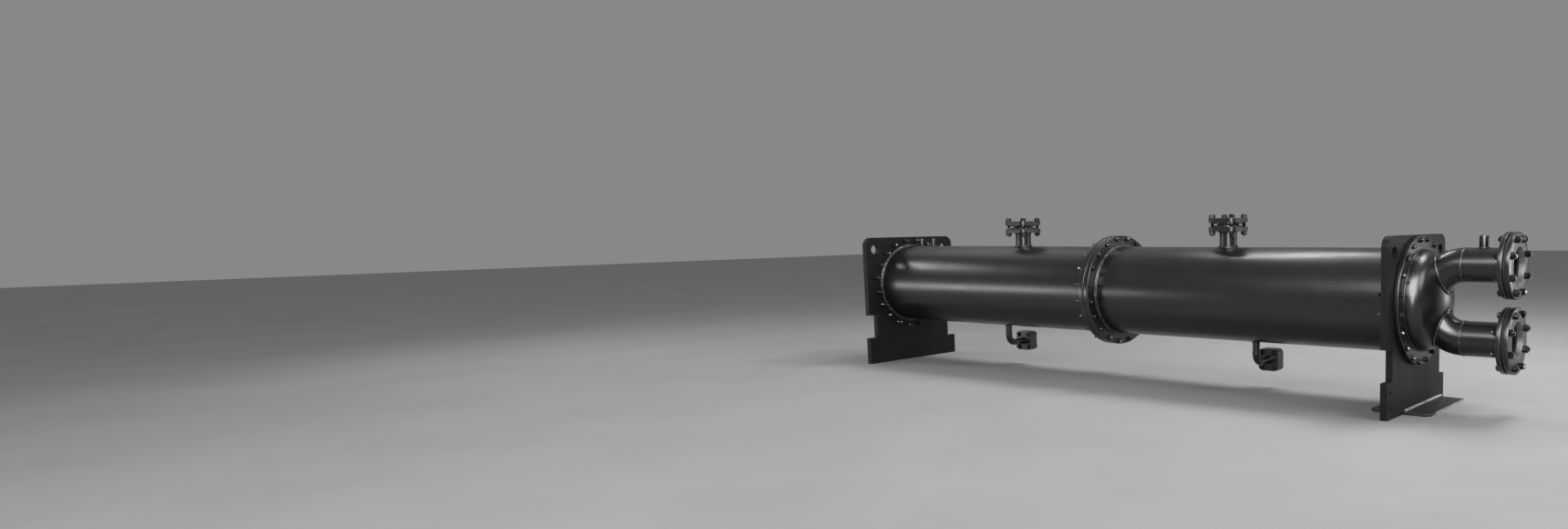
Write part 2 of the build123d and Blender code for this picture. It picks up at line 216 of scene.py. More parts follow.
# %% Copies of solids, with their edges rounded
def eased_copy(node, name, edge, segments=2):
    source = nodes[node]
    piece = bpy.data.objects.new(name, source.data.copy())
    scene.collection.objects.link(piece)
    piece.data.materials.clear()
    hold(piece)
    bpy.ops.mesh.customdata_custom_splitnormals_clear()
    edit(piece)
    bpy.ops.mesh.select_all(action="SELECT")
    bpy.ops.mesh.remove_doubles(threshold=0.00001)
    bpy.ops.mesh.dissolve_limited(angle_limit=radians(0.6))
    bpy.ops.object.mode_set(mode="OBJECT")
    bevel = piece.modifiers.new("edge", "BEVEL")
    bevel.width = edge
    bevel.segments = segments
    bevel.limit_method = "ANGLE"
    bevel.angle_limit = radians(50)
    bevel.material = 1  # the rounded strip takes the piece's second finish
    mark(piece, 2)
    bpy.ops.object.modifier_apply(modifier=bevel.name)
    smooth(piece, 40)
    # Large flat faces decide the shading, so they stay flat right up to the strip.
    even = piece.modifiers.new("even", "WEIGHTED_NORMAL")
    even.keep_sharp = True
    bpy.ops.object.modifier_apply(modifier=even.name)
    return piece


for node in ("left_plate", "right_plate"):
    piece = eased_copy(node, node + "_steel", 1.6 * MM)
    fit(piece, "plate_paint", node)
    print(piece.name, len(piece.data.polygons), "faces")
for node, away in (("outer_foot", 1), ("inner_foot", -1)):
    piece = eased_copy(node, node + "_steel", 1.2 * MM)
    mark(piece, 3, lambda face: face.normal.x * away > 0.9)  # the sawn outer edge
    fit(piece, "plate_paint", node)

# %% [markdown]
# ## Square flanges
# The nozzles on top and the drains below end in pairs of square flanges with large round
# corners. The solid has the right outline, so the same copy with eased edges is enough.

# %% Square flanges
for side in ("left", "right"):
    for kind in ("gas_flange", "gas_counter_flange", "drain_flange", "drain_counter_flange"):
        node = side + "_" + kind
        edge = (2.0 if "gas" in kind else 1.6) * MM
        fit(eased_copy(node, node + "_forged", edge, 3), "flange_paint", node)
print("square flanges", len([p for p in fitted if "forged" in p.name]))

# %% [markdown]
# ## Round flanges
# A round flange is turned on a lathe. The same can be done here: a small plane is the cut
# through one side of the ring, its corners are rounded, and the spin operator takes it round
# the shell's axis. That gives a rim with a smooth edge, which a copied solid doesn't have.
# The water flanges also have a raised face, which the plane gets by a cut and an extrusion.

# %% Turn a ring on the lathe
TINY = 1e-6


def turned_ring(name, inner, outer, start, end, z, edge=2.5 * MM, raised=None, steps=144):
    bpy.ops.object.select_all(action="DESELECT")
    middle = ((start + end) / 2, 0, z + (inner + outer) / 2)
    bpy.ops.mesh.primitive_plane_add(size=1, location=middle, rotation=(pi / 2, 0, 0))
    piece = bpy.context.object
    piece.name = name
    piece.scale = (end - start, outer - inner, 1)
    settle(piece)
    edit(piece, "VERT")
    pick("VERT", lambda v: v.co.z > middle[2])
    bpy.ops.mesh.bevel(offset=edge, segments=4, affect="VERTICES")
    if raised:
        side, height, radius = raised
        bpy.ops.mesh.select_all(action="SELECT")
        bpy.ops.mesh.bisect(plane_co=(0, 0, z + radius), plane_no=(0, 0, 1))
        bpy.ops.mesh.select_mode(type="EDGE")
        bpy.ops.mesh.select_all(action="DESELECT")
        pick("EDGE", lambda e: all(abs(v.co.x - side) < TINY and v.co.z < z + radius + TINY
                                   for v in e.verts))
        bpy.ops.mesh.extrude_region_move(TRANSFORM_OT_translate={"value": (height, 0, 0)})
    # Only the outline is spun: the faces and the lines inside it go first.
    inside = bmesh.from_edit_mesh(piece.data)
    for line in [e for e in inside.edges if len(e.link_faces) > 1]:
        inside.edges.remove(line)
    for part in list(inside.faces):
        inside.faces.remove(part)
    bmesh.update_edit_mesh(piece.data)
    bpy.ops.mesh.select_all(action="SELECT")
    bpy.ops.mesh.spin(steps=steps, angle=TURN, center=(0, 0, z), axis=(1, 0, 0))
    bpy.ops.object.mode_set(mode="OBJECT")
    outwards(piece)
    rim_strips(piece)
    return smooth(piece, 40)


def rim_strips(piece):
    # Faces that look neither along the axis nor straight out are the rounded strips.
    mark(piece, 2, lambda face: 0.1 < abs(face.normal.x) < 0.97)


JOINT_BORE, JOINT_R = 195.2 * MM, 255 * MM
for side, (start, end) in JOINTS.items():
    ring = turned_ring(side + "_joint_ring", JOINT_BORE, JOINT_R, start, end, AXIS_Z)
    fit(ring, "flange_paint", side + "_joint_flange")
COVER_BORE, COVER_R = 187 * MM, 249 * MM
for side, (start, end) in COVERS.items():
    ring = turned_ring(side + "_cover_ring", COVER_BORE, COVER_R, start, end, AXIS_Z)
    fit(ring, "cover_paint", side + "_cover_flange")
WATER_BORE, COUNTER_BORE, WATER_FLANGE_R = 66.8 * MM, 71.5 * MM, 125 * MM
RAISED, RAISED_R, WATER_EDGE = 2.5 * MM, 94 * MM, 3 * MM
for level, z in (("upper", UPPER_Z), ("lower", LOWER_Z)):
    front = FLANGE_FACE - RAISED
    ring = turned_ring(level + "_water_ring", WATER_BORE, WATER_FLANGE_R, FLANGE_BACK, front,
                       z, WATER_EDGE, (front, RAISED, RAISED_R))
    fit(ring, "flange_paint", level + "_flange")
    front = COUNTER_FACE + RAISED
    ring = turned_ring(level + "_counter_ring", COUNTER_BORE, WATER_FLANGE_R, front,
                       COUNTER_BACK, z, WATER_EDGE, (front, -RAISED, RAISED_R))
    mark(ring, 3, lambda face: (face.center - Vector((face.center.x, 0, z))).length
         < COUNTER_BORE + 0.5 * MM)
    fit(ring, "flange_paint", level + "_counter_flange")
    print(ring.name, len(ring.data.polygons), "faces")

# %% [markdown]
# ## Raised faces of the square flanges
# Between the two flanges of an upright nozzle lies a ring of packing, pressed by a raised
# face on each flange. From the side only a narrow dark slot is left between the faces. They
# are turned about the lathe's axis like the other rings, and then stood upright.

# %% Raised faces and packing of the upright nozzles
def stand_up(ring, x, z):
    ring.data.transform(Matrix.Translation((x, 0, z)) @ Matrix.Rotation(-pi / 2, 4, "Y"))
    return ring


PACKING_R, FACE_R, FACE_BORE = 48 * MM, 61 * MM, 38.75 * MM
FACE_HEIGHT = 5.5 * MM
for side, x in zip(("left", "right"), GAS_X):
    faces = [stand_up(turned_ring("face", FACE_BORE, FACE_R, 0, FACE_HEIGHT, 0, 1 * MM,
                                  steps=96), x, z)
             for z in (GAP_LOW, GAP_HIGH - FACE_HEIGHT)]
    fit(join(faces, side + "_gas_flange_faces"), "flange_paint")
    packing = turned_ring(side + "_gas_packing_seal", FACE_BORE, PACKING_R, 0,
                          GAP_HIGH - GAP_LOW - 2 * FACE_HEIGHT, 0, 0.5 * MM, steps=96)
    fit(stand_up(packing, x, GAP_LOW + FACE_HEIGHT), "gasket_dark", side + "_gas_seal")
print("raised faces", 2 * len(GAS_X))

# %% [markdown]
# ## One nut
# About ninety studs hold the covers, the joint and the nozzles, each with two nuts. A nut is
# a six-sided prism whose corners were cut by a cone, so that they end in small arcs. Here a
# bevelled disc does it, with a boolean modifier that keeps what both share.

# %% A nut with cut corners
def nut(width, height):
    corner = width / sqrt(3)
    bpy.ops.object.select_all(action="DESELECT")
    bpy.ops.mesh.primitive_cylinder_add(vertices=24, radius=corner * 0.995, depth=height,
                                        location=(0, 0, height / 2))
    disc = settle(bpy.context.object)
    edit(disc, "EDGE")
    pick("EDGE", lambda e: abs(e.verts[0].co.z - e.verts[1].co.z) < TINY)
    bpy.ops.mesh.bevel(offset=corner - width / 2, segments=1)
    let_go()
    bpy.ops.mesh.primitive_cylinder_add(vertices=6, radius=corner, depth=height,
                                        location=(0, 0, height / 2))
    prism = settle(bpy.context.object)
    cut = prism.modifiers.new("cone", "BOOLEAN")
    cut.operation = "INTERSECT"
    cut.object = disc
    bpy.ops.object.modifier_apply(modifier=cut.name)
    bpy.data.objects.remove(disc)
    mark(prism, 2, lambda face: 0.1 < abs(face.normal.z) < 0.97)
    return prism


# %% [markdown]
# ## One stud
# A stud is a threaded rod. Here it is a column that is extruded step by step, each step a
# little wider or narrower, which leaves a coarse thread where it shows. One stud of each
# kind is made with its nuts, and then copied to all its places.

# %% A stud with a thread at its ends
def thread(radius, start, end, pitch=2.4 * MM):
    # A column of short steps, wide and narrow in turn, with a small chamfer at its tip.
    bpy.ops.object.select_all(action="DESELECT")
    bpy.ops.mesh.primitive_circle_add(vertices=12, radius=radius, location=(0, 0, start),
                                      fill_type="NGON")
    piece = settle(bpy.context.object)
    steps = max(2, round(abs(end - start) / (pitch / 2)))
    rise = (end - start) / steps
    edit(piece)
    bpy.ops.mesh.select_all(action="SELECT")
    for i in range(steps):
        bpy.ops.mesh.extrude_region_move(TRANSFORM_OT_translate={"value": (0, 0, rise)})
        size = 0.86 if i % 2 == 0 else 1 / 0.86
        if i == steps - 1:
            size = 0.8 if i % 2 else 0.93
        bpy.ops.transform.resize(value=(size, size, 1), center_override=(0, 0, 0))
    bpy.ops.object.mode_set(mode="OBJECT")
    mark(piece, 2, lambda face: True)
    return outwards(piece)


def stud(radius, width, height, low, high, low_end, high_end):
    # Low and high are the seats of the nuts; the ends stand out of the nuts.
    pieces = [thread(radius, (low + high) / 2, high + height + high_end),
              thread(radius, (low + high) / 2, low - height - low_end)]
    for seat in (low - height, high):
        one = nut(width, height)
        one.data.transform(Matrix.Translation((0, 0, seat)))
        pieces.append(one)
    return smooth(join(pieces, "stud"), 32)


print("nut and stud ready")

# %% [markdown]
# ## Bolting in its places
# Nuts are tightened one by one, so no two stand at the same angle. Each copy is turned by
# its own amount before it is moved to its hole. All studs of one joint make one piece.

# %% Copy the studs to their holes
def bolting(name, master, places, slot, node):
    copies = []
    for place in places:
        copy = master.copy()
        copy.data = master.data.copy()
        scene.collection.objects.link(copy)
        turn = Matrix.Rotation(dice.uniform(0, pi / 3), 4, "Z")
        copy.data.transform(place @ turn)
        copies.append(copy)
    bpy.data.objects.remove(master)
    piece = join(copies, name)
    return fit(piece, slot, node)


def ring_places(count, circle, z):
    lie = Matrix.Rotation(pi / 2, 4, "Y")
    places = []
    for i in range(count):
        angle = TURN * (i + 0.5) / count
        spot = (0, circle / 2 * cos(angle), z + circle / 2 * sin(angle))
        places.append(Matrix.Translation(spot) @ lie)
    return places


SMALL = (6 * MM, 19 * MM, 10 * MM)  # radius of the stud, width and height of its nuts
LARGE = (8 * MM, 24 * MM, 14 * MM)
END, JOINT_END, PLATE_END = 5 * MM, 20 * MM, 26 * MM  # how far a stud stands out of its nut
JOINT_CIRCLE, COVER_CIRCLE, WATER_CIRCLE = 482 * MM, 475 * MM, 210 * MM
cover_places = ring_places(20, COVER_CIRCLE, AXIS_Z)
joint_stud = stud(*SMALL, JOINTS["left"][0], JOINTS["right"][1], JOINT_END, END)
bolting("joint_studs", joint_stud, ring_places(20, JOINT_CIRCLE, AXIS_Z), "bolt_steel",
        "joint_bolts")
right_stud = stud(*SMALL, RIGHT_X - PLATE_HALF, COVERS["right"][1], PLATE_END, END)
bolting("right_cover_studs", right_stud, cover_places, "bolt_steel", "right_cover_bolts")
left_stud = stud(*SMALL, COVERS["left"][0], PLATE_HALF, END, PLATE_END)
bolting("left_cover_studs", left_stud, cover_places, "bolt_steel", "left_cover_bolts")
for level, z in (("upper", UPPER_Z), ("lower", LOWER_Z)):
    water_stud = stud(*LARGE, FLANGE_BACK, COUNTER_BACK, END, END)
    bolting(level + "_water_studs", water_stud, ring_places(8, WATER_CIRCLE, z), "bolt_steel",
            level + "_bolts")
GAS_STEP, DRAIN_STEP = 50 * MM, 32 * MM  # from a square flange's middle to its studs
GAS_END = 2 * MM
corners = [(a, b) for a in (-1, 1) for b in (-1, 1)]
for side, gas_x, drain_x in zip(("left", "right"), GAS_X, DRAIN_X):
    gas_stud = stud(*LARGE, GAS_LOW, GAS_HIGH, END, GAS_END)
    places = [Matrix.Translation((gas_x + a * GAS_STEP, b * GAS_STEP, 0)) for a, b in corners]
    bolting(side + "_gas_studs", gas_stud, places, "bolt_steel", side + "_gas_bolts")
    drain_stud = stud(*SMALL, DRAIN_BACK, DRAIN_FRONT, END, END)
    lie = Matrix.Rotation(-pi / 2, 4, "X")
    places = [Matrix.Translation((drain_x + a * DRAIN_STEP, 0, DRAIN_Z + b * DRAIN_STEP)) @ lie
              for a, b in corners]
    bolting(side + "_drain_studs", drain_stud, places, "bolt_steel", side + "_drain_bolts")
print("stud sets", len([p for p in fitted if p.name.endswith("_studs")]))

# %% [markdown]
# ## Weld beads
# Every joint that isn't bolted is welded, and the beads are what tells a fabricated vessel
# from a cast one. A bead is a row of frozen ripples. It is made from a ring of points that
# lies along the seam: turned into a curve, the ring gets a round section, and the radius at
# each point goes up and down a little, which gives the ripples. Then it becomes a mesh.

# %% A rippled bead along a line of points
def bead(name, line, width, closed=True, swing=0.16):
    bpy.ops.object.select_all(action="DESELECT")
    bpy.ops.mesh.primitive_circle_add(vertices=len(line), radius=1, fill_type="NOTHING")
    piece = bpy.context.object
    piece.name = name
    for corner, spot in zip(piece.data.vertices, line):
        corner.co = spot
    if not closed:
        edit(piece, "EDGE")
        pick("EDGE", lambda e: {v.index for v in e.verts} == {0, len(line) - 1})
        bpy.ops.mesh.delete(type="EDGE")
        bpy.ops.object.mode_set(mode="OBJECT")
    bpy.ops.object.convert(target="CURVE")
    piece.data.bevel_depth = width / 2
    piece.data.bevel_resolution = 2
    piece.data.use_fill_caps = True
    for spline in piece.data.splines:
        for i, point in enumerate(spline.points):
            ripple = swing * (i % 2) + dice.uniform(0, swing / 2)
            point.radius = 1 - ripple
    bpy.ops.object.convert(target="MESH")
    return smooth(outwards(bpy.context.object), 75)


def ring_line(x, radius, z, pitch=2.6 * MM, sway=0.4 * MM):
    # Points round a ring that stands across the X axis, a little uneven as a hand is.
    count = 2 * round(TURN * radius / pitch / 2)
    return [Vector((x + dice.uniform(-sway, sway), radius * cos(TURN * i / count),
                    z + radius * sin(TURN * i / count))) for i in range(count)]


print("bead ready")

# %% [markdown]
# ## Welds of the shell
# The shell is welded to both plates and to the flanges of the joint with two passes, laid
# side by side in the corner, so each of these welds shows two thin bright lines. The covers'
# domes are welded to their rings with one smooth pass, which hardly shows under the paint.

# %% Welds round the shell and the covers
def corner_weld(name, x, away, radius, legs, width, swing, slot):
    # Passes in the corner between a pipe and a flat face; away is +1 or -1 along X.
    passes = [bead(name, ring_line(x + away * a, radius + b, AXIS_Z), width, swing=swing)
              for a, b in legs]
    return fit(join(passes, name), slot)


TWO_PASSES = ((3.2 * MM, 5.2 * MM), (8.6 * MM, 1.6 * MM))  # along the shell, and off its skin
for name, x, away in (("left_plate_weld", PLATE_HALF, 1),
                      ("left_joint_weld", JOINTS["left"][0], -1),
                      ("right_joint_weld", JOINTS["right"][1], 1),
                      ("right_plate_weld", RIGHT_X - PLATE_HALF, -1)):
    weld = corner_weld(name, x, away, SHELL_R, TWO_PASSES, 8.4 * MM, 0.16, "shell_paint")
    print(name, len(weld.data.polygons), "faces")
HEAD_R = 195 * MM
ONE_PASS = ((1.2 * MM, 1.6 * MM),)
for name, x, away in (("left_cover_weld", COVERS["left"][0], -1),
                      ("right_cover_weld", COVERS["right"][1], 1)):
    corner_weld(name, x, away, HEAD_R, ONE_PASS, 6.5 * MM, 0.05, "cover_paint")

# %% [markdown]
# ## Welds of the water nozzles
# Where an elbow runs into the dome, the seam is a bent loop. It can be worked out: from each
# point of the pipe's rim, go back along the bend until the point is inside the dome's
# sphere. Where it enters is a point of the seam. Plain round seams join each elbow to its
# straight pipe and each pipe to its flange.

# %% The seam between elbow and dome
ELBOW_BEND = 133 * MM
CROWN_X, CROWN_R = 2789.2 * MM, 312 * MM  # the dome's crown is part of this sphere


def elbow_point(turn, around, level):
    # A point on the elbow's skin; level is +1 for the upper elbow and -1 for the lower one.
    reach = ELBOW_BEND + WATER_R * cos(around)
    x = ELBOW_END - reach * sin(turn)
    rise = UPPER_Z - AXIS_Z - ELBOW_BEND + reach * cos(turn)
    return Vector((x, WATER_R * sin(around), AXIS_Z + level * rise))


def seam_line(level, pitch=2.6 * MM):
    centre = Vector((CROWN_X, 0, AXIS_Z))
    count = 2 * round(TURN * WATER_R * 1.25 / pitch / 2)
    line = []
    for i in range(count):
        around = TURN * i / count
        out, into = 0.0, radians(80)
        for _ in range(30):
            half = (out + into) / 2
            if (elbow_point(half, around, level) - centre).length > CROWN_R:
                out = half
            else:
                into = half
        spot = elbow_point(out, around, level)
        line.append(spot + (spot - centre).normalized() * 1.5 * MM)
    return line


def grown(line, middle, by):
    # The same line, moved away from a middle point, for a pass beside the first.
    return [spot + (spot - middle).normalized() * by for spot in line]


for level, z, up in (("upper", UPPER_Z, 1), ("lower", LOWER_Z, -1)):
    inner = seam_line(up)
    middle = sum(inner, Vector()) / len(inner)
    passes = [bead("seam", grown(inner, middle, 1.5 * MM), 8 * MM),
              bead("seam", grown(inner, middle, 6.5 * MM), 6 * MM)]
    fit(join(passes, level + "_elbow_weld"), "nozzle_paint")
    seams = [bead("seam", ring_line(ELBOW_END, WATER_R - 1 * MM, z), 7 * MM),
             bead("seam", ring_line(FLANGE_BACK - 2.5 * MM, WATER_R + 2 * MM, z), 7 * MM)]
    fit(join(seams, level + "_pipe_welds"), "nozzle_paint")
print("points along an elbow's seam", len(inner))

# %% [markdown]
# ## Welds on curved walls
# The foot of an upright pipe on the shell is a saddle: the ring dips at both sides, where
# the wall falls away. The height of each point follows from the wall's circle.

# %% Saddle welds
def saddle_line(x, pipe_r, wall_r, wall_z, side=1, pitch=2.2 * MM, lift=0.0):
    count = 2 * round(TURN * pipe_r / pitch / 2)
    line = []
    for i in range(count):
        a = TURN * i / count
        y = pipe_r * sin(a)
        height = sqrt((wall_r + lift) ** 2 - y * y)
        line.append(Vector((x + pipe_r * cos(a), y, wall_z + side * height)))
    return line


def flat_ring(x, radius, height, count):
    # A level ring of points about an upright line at X.
    return [Vector((x + radius * cos(TURN * i / count), radius * sin(TURN * i / count), height))
            for i in range(count)]


def facing_ring(x, radius, y, count):
    # A ring of points about a drain's flange, which faces along Y.
    return [Vector((x + radius * cos(TURN * i / count), y,
                    DRAIN_Z + radius * sin(TURN * i / count))) for i in range(count)]


for side, x in zip(("left", "right"), GAS_X):
    passes = [bead("saddle", saddle_line(x, 41.5 * MM, SHELL_R, AXIS_Z, lift=1.5 * MM), 8 * MM),
              bead("saddle", saddle_line(x, 38.5 * MM, SHELL_R, AXIS_Z, lift=5 * MM), 7 * MM),
              bead("saddle", flat_ring(x, 40 * MM, GAS_LOW - 2 * MM, 100), 7 * MM)]
    fit(join(passes, side + "_gas_welds"), "nozzle_paint")
DRAIN_SEAM_Z = 172 * MM  # where the drain's straight stub meets its bend
for side, x in zip(("left", "right"), DRAIN_X):
    root = saddle_line(x, 17.5 * MM, SHELL_R, AXIS_Z, -1, lift=1.5 * MM)
    passes = [bead("drain", root, 6 * MM),
              bead("drain", flat_ring(x, 16 * MM, DRAIN_SEAM_Z, 44), 5.5 * MM),
              bead("drain", facing_ring(x, 17.5 * MM, DRAIN_BACK - 1.5 * MM, 44), 5.5 * MM)]
    fit(join(passes, side + "_drain_welds"), "nozzle_paint")
COUPLING_X = (111 * MM, 205 * MM)
small = [bead("base", saddle_line(x, 12.5 * MM, SHELL_R, AXIS_Z, lift=1.2 * MM), 5 * MM)
         for x in COUPLING_X]
fit(join(small, "coupling_welds"), "nozzle_paint")
VENT_X = 3227 * MM
vent_root = saddle_line(VENT_X, 19 * MM, WATER_R, UPPER_Z, lift=1.5 * MM)
fit(bead("vent_weld", vent_root, 6 * MM), "nozzle_paint")
print("saddle welds done")

# %% [markdown]
# ## The weld of the foot plates
# The foot plates are welded to the right-hand plate with one heavy bead on each side. It was
# laid after painting and is still bare. It stops and starts, so it is made of three lengths.

# %% Foot welds
FOOT_RUNS = ((-128, -112), (-104, 62), (70, 254))  # where each length starts and ends, in Y
FOOT_BEAD, FOOT_PITCH, FOOT_SWAY = 12 * MM, 2.9, 0.4  # pitch and sway in millimetres
OFF_PLATE, OFF_FLOOR = 3.4 * MM, 13.2  # the bead's line, from the plate and from the floor


def foot_weld(name, away):
    x = RIGHT_X + away * (PLATE_HALF + OFF_PLATE)
    runs = []
    for start, end in FOOT_RUNS:
        count = max(4, round((end - start) / FOOT_PITCH))
        line = [Vector((x + dice.uniform(-FOOT_SWAY, FOOT_SWAY) * MM,
                        (start + (end - start) * i / (count - 1)) * MM,
                        (OFF_FLOOR + dice.uniform(-FOOT_SWAY, FOOT_SWAY)) * MM))
                for i in range(count)]
        runs.append(bead("run", line, FOOT_BEAD, closed=False, swing=0.2))
    return fit(join(runs, name), "bolt_steel")


print(len(foot_weld("outer_foot_weld", 1).data.polygons), "faces in a foot weld")
foot_weld("inner_foot_weld", -1)

# %% [markdown]
# ## Couplings and their plugs
# Three short couplings stand up from the vessel: two small ones beside the left plate, and
# one on the upper water pipe. Each is a piece of thick tube with a rounded rim, closed by a
# plug with a six-sided socket. The plug is a disc whose middle is inset and pushed in.

# %% Couplings
def coupling(x, radius, bore, low, high):
    bpy.ops.object.select_all(action="DESELECT")
    bpy.ops.mesh.primitive_cylinder_add(vertices=48, radius=radius, depth=high - low,
                                        location=(x, 0, (low + high) / 2))
    piece = settle(bpy.context.object)
    edit(piece)
    pick("FACE", lambda f: f.normal.z > 0.9)
    bpy.ops.mesh.inset(thickness=radius - bore)
    bpy.ops.mesh.extrude_region_move(TRANSFORM_OT_translate={"value": (0, 0, -14 * MM)})
    bpy.ops.mesh.select_all(action="DESELECT")
    bpy.ops.mesh.select_mode(type="EDGE")
    middle = Vector((x, 0))
    pick("EDGE", lambda e: all(v.co.z > high - TINY for v in e.verts)
         and abs((e.verts[0].co.xy - middle).length
                 - (e.verts[1].co.xy - middle).length) < TINY)
    bpy.ops.mesh.bevel(offset=min(radius - bore, 6 * MM) * 0.42, segments=3)
    return smooth(outwards(piece), 40)


def plug(x, radius, low, high):
    bpy.ops.object.select_all(action="DESELECT")
    bpy.ops.mesh.primitive_cylinder_add(vertices=36, radius=radius, depth=high - low,
                                        location=(x, 0, (low + high) / 2))
    piece = settle(bpy.context.object)
    edit(piece, "EDGE")
    pick("EDGE", lambda e: all(v.co.z > high - TINY for v in e.verts))
    bpy.ops.mesh.bevel(offset=0.6 * MM, segments=2)
    let_go()
    bpy.ops.mesh.primitive_cylinder_add(vertices=6, radius=radius * 0.6, depth=10 * MM,
                                        location=(x, 0, high))
    key = settle(bpy.context.object)
    hold(piece)
    cut = piece.modifiers.new("socket", "BOOLEAN")
    cut.object = key
    bpy.ops.object.modifier_apply(modifier=cut.name)
    bpy.data.objects.remove(key)
    return smooth(piece, 30)


small = [coupling(x, 11 * MM, 6 * MM, 626 * MM, 668.2 * MM) for x in COUPLING_X]
fit(join(small, "shell_couplings_turned"), "nozzle_paint", "shell_couplings")
small = [plug(x, 5.7 * MM, 653.2 * MM, 665.2 * MM) for x in COUPLING_X]
fit(join(small, "shell_plugs_turned"), "bolt_steel", "shell_plugs")
vent = coupling(VENT_X, 17.5 * MM, 10 * MM, 627 * MM, 675.5 * MM)
fit(join([vent], "vent_coupling_turned"), "nozzle_paint", "vent_coupling")
vent_plug = plug(VENT_X, 9.7 * MM, 660 * MM, 674.8 * MM)
fit(join([vent_plug], "vent_plug_turned"), "bolt_steel", "vent_plug")
print("couplings done")

# %% [markdown]
# ## Paint
# The vessel is sprayed with black enamel. Sprayed paint is never flat: it has a fine
# orange-peel skin, its gloss changes from place to place, dust settles on what faces up, and
# it wears to grey on edges. The paler edge strips and weld beads are partly this wear and
# partly a painted highlight. Such a finish takes many nodes, so the first cell makes short
# helpers for them. Patterns use Object coordinates, so they have the same size on all pieces.

# %% Node helpers
def node(tree, kind, **settings):
    made = tree.nodes.new(kind)
    for key, value in settings.items():
        if hasattr(made, key):
            setattr(made, key, value)
        else:
            made.inputs[key.replace("_", " ")].default_value = value
    return made


def noise(tree, scale, detail=4.0, rough=0.55, stretch=(1, 1, 1)):
    place = tree.nodes.new("ShaderNodeTexCoord")
    shift = node(tree, "ShaderNodeMapping")
    shift.inputs["Scale"].default_value = stretch
    texture = node(tree, "ShaderNodeTexNoise", Scale=scale, Detail=detail, Roughness=rough)
    tree.links.new(place.outputs["Object"], shift.inputs["Vector"])
    tree.links.new(shift.outputs["Vector"], texture.inputs["Vector"])
    return texture.outputs["Fac"]


def ramp(tree, value, low, high, start=0.0, end=1.0):
    # Stretches a value from low-high to start-end.
    made = node(tree, "ShaderNodeMapRange")
    made.inputs["From Min"].default_value = low
    made.inputs["From Max"].default_value = high
    made.inputs["To Min"].default_value = start
    made.inputs["To Max"].default_value = end
    tree.links.new(value, made.inputs["Value"])
    return made.outputs["Result"]


def blend_colour(tree, amount, first, second):
    made = node(tree, "ShaderNodeMix", data_type="RGBA")
    tree.links.new(amount, made.inputs[0])
    for socket, value in ((made.inputs[6], first), (made.inputs[7], second)):
        if isinstance(value, bpy.types.NodeSocket):
            tree.links.new(value, socket)
        else:
            socket.default_value = (*value, 1)
    return made.outputs[2]


def times(tree, first, second):
    made = node(tree, "ShaderNodeMath", operation="MULTIPLY")
    tree.links.new(first, made.inputs[0])
    if isinstance(second, bpy.types.NodeSocket):
        tree.links.new(second, made.inputs[1])
    else:
        made.inputs[1].default_value = second
    return made.outputs[0]


def plus(tree, first, second):
    made = node(tree, "ShaderNodeMath", operation="ADD", use_clamp=True)
    tree.links.new(first, made.inputs[0])
    tree.links.new(second, made.inputs[1])
    return made.outputs[0]


def new_finish(name):
    made = bpy.data.materials.new(name)
    made.use_nodes = True
    return made, made.node_tree, made.node_tree.nodes["Principled BSDF"]


print("node helpers ready")

# %% [markdown]
# ## One recipe for paint
# One function builds the black enamel from a few numbers, so that each group of pieces gets
# its own mix: the plates and the feet are the dullest, and the rounded strips along the
# edges are painted paler than the faces beside them, partly because there the paint is thin
# and partly as a painted highlight along the edge.

# %% The paint, and its mixes
WORN_GREY_AND_GLINT, DUST = (0.22, 0.225, 0.225), (0.20, 0.19, 0.175)


def paint(name, colour, roughness, wear_and_glint=0.0, dust=0.08, peel=0.12, grain=420, shine=0.5):
    # How far grey patches show through the paint, from 0 to 1: worn paint on most pieces, and on
    # the weld beads partly a painted highlight.
    finish, tree, shader = new_finish(name)
    shader.inputs["IOR"].default_value = 1.6
    shader.inputs["Specular IOR Level"].default_value = shine
    # Broad clouds vary the colour a little.
    deeper = tuple(c * 0.75 for c in colour)
    base = blend_colour(tree, ramp(tree, noise(tree, 2.3, 4), 0.3, 0.7), deeper, colour)
    # Dust lies on what faces up, in patches.
    skin = tree.nodes.new("ShaderNodeNewGeometry")
    split = tree.nodes.new("ShaderNodeSeparateXYZ")
    tree.links.new(skin.outputs["Normal"], split.inputs["Vector"])
    up = ramp(tree, split.outputs["Z"], 0.5, 1.0)
    settled = times(tree, times(tree, up, ramp(tree, noise(tree, 10, 6), 0.3, 0.8)), dust)
    base = blend_colour(tree, settled, base, DUST)
    # Where the paint is worn, and on the weld beads where a highlight is painted, the grey shows
    # in small ragged patches.
    line = 0.74 - 0.36 * wear_and_glint ** 0.35 if wear_and_glint else 2
    bare_and_glint = ramp(tree, noise(tree, 65, 6, 0.65), line, line + 0.12)
    base = blend_colour(tree, bare_and_glint, base, WORN_GREY_AND_GLINT)
    tree.links.new(base, shader.inputs["Base Color"])
    # The gloss wanders a little, and dust and wear dull it.
    gloss = ramp(tree, noise(tree, 7, 4), 0.3, 0.7, roughness * 0.9, roughness * 1.12)
    dulled = plus(tree, gloss, times(tree, settled, 0.5))
    tree.links.new(plus(tree, dulled, times(tree, bare_and_glint, 0.12)), shader.inputs["Roughness"])
    # Orange peel, and the long soft waves of rolled steel under it.
    fine = node(tree, "ShaderNodeBump", Strength=peel, Distance=0.0006)
    tree.links.new(noise(tree, grain, 2), fine.inputs["Height"])
    waves = node(tree, "ShaderNodeBump", Strength=peel * 0.4, Distance=0.003)
    tree.links.new(noise(tree, 8, 2), waves.inputs["Height"])
    tree.links.new(waves.outputs["Normal"], fine.inputs["Normal"])
    tree.links.new(fine.outputs["Normal"], shader.inputs["Normal"])
    return finish


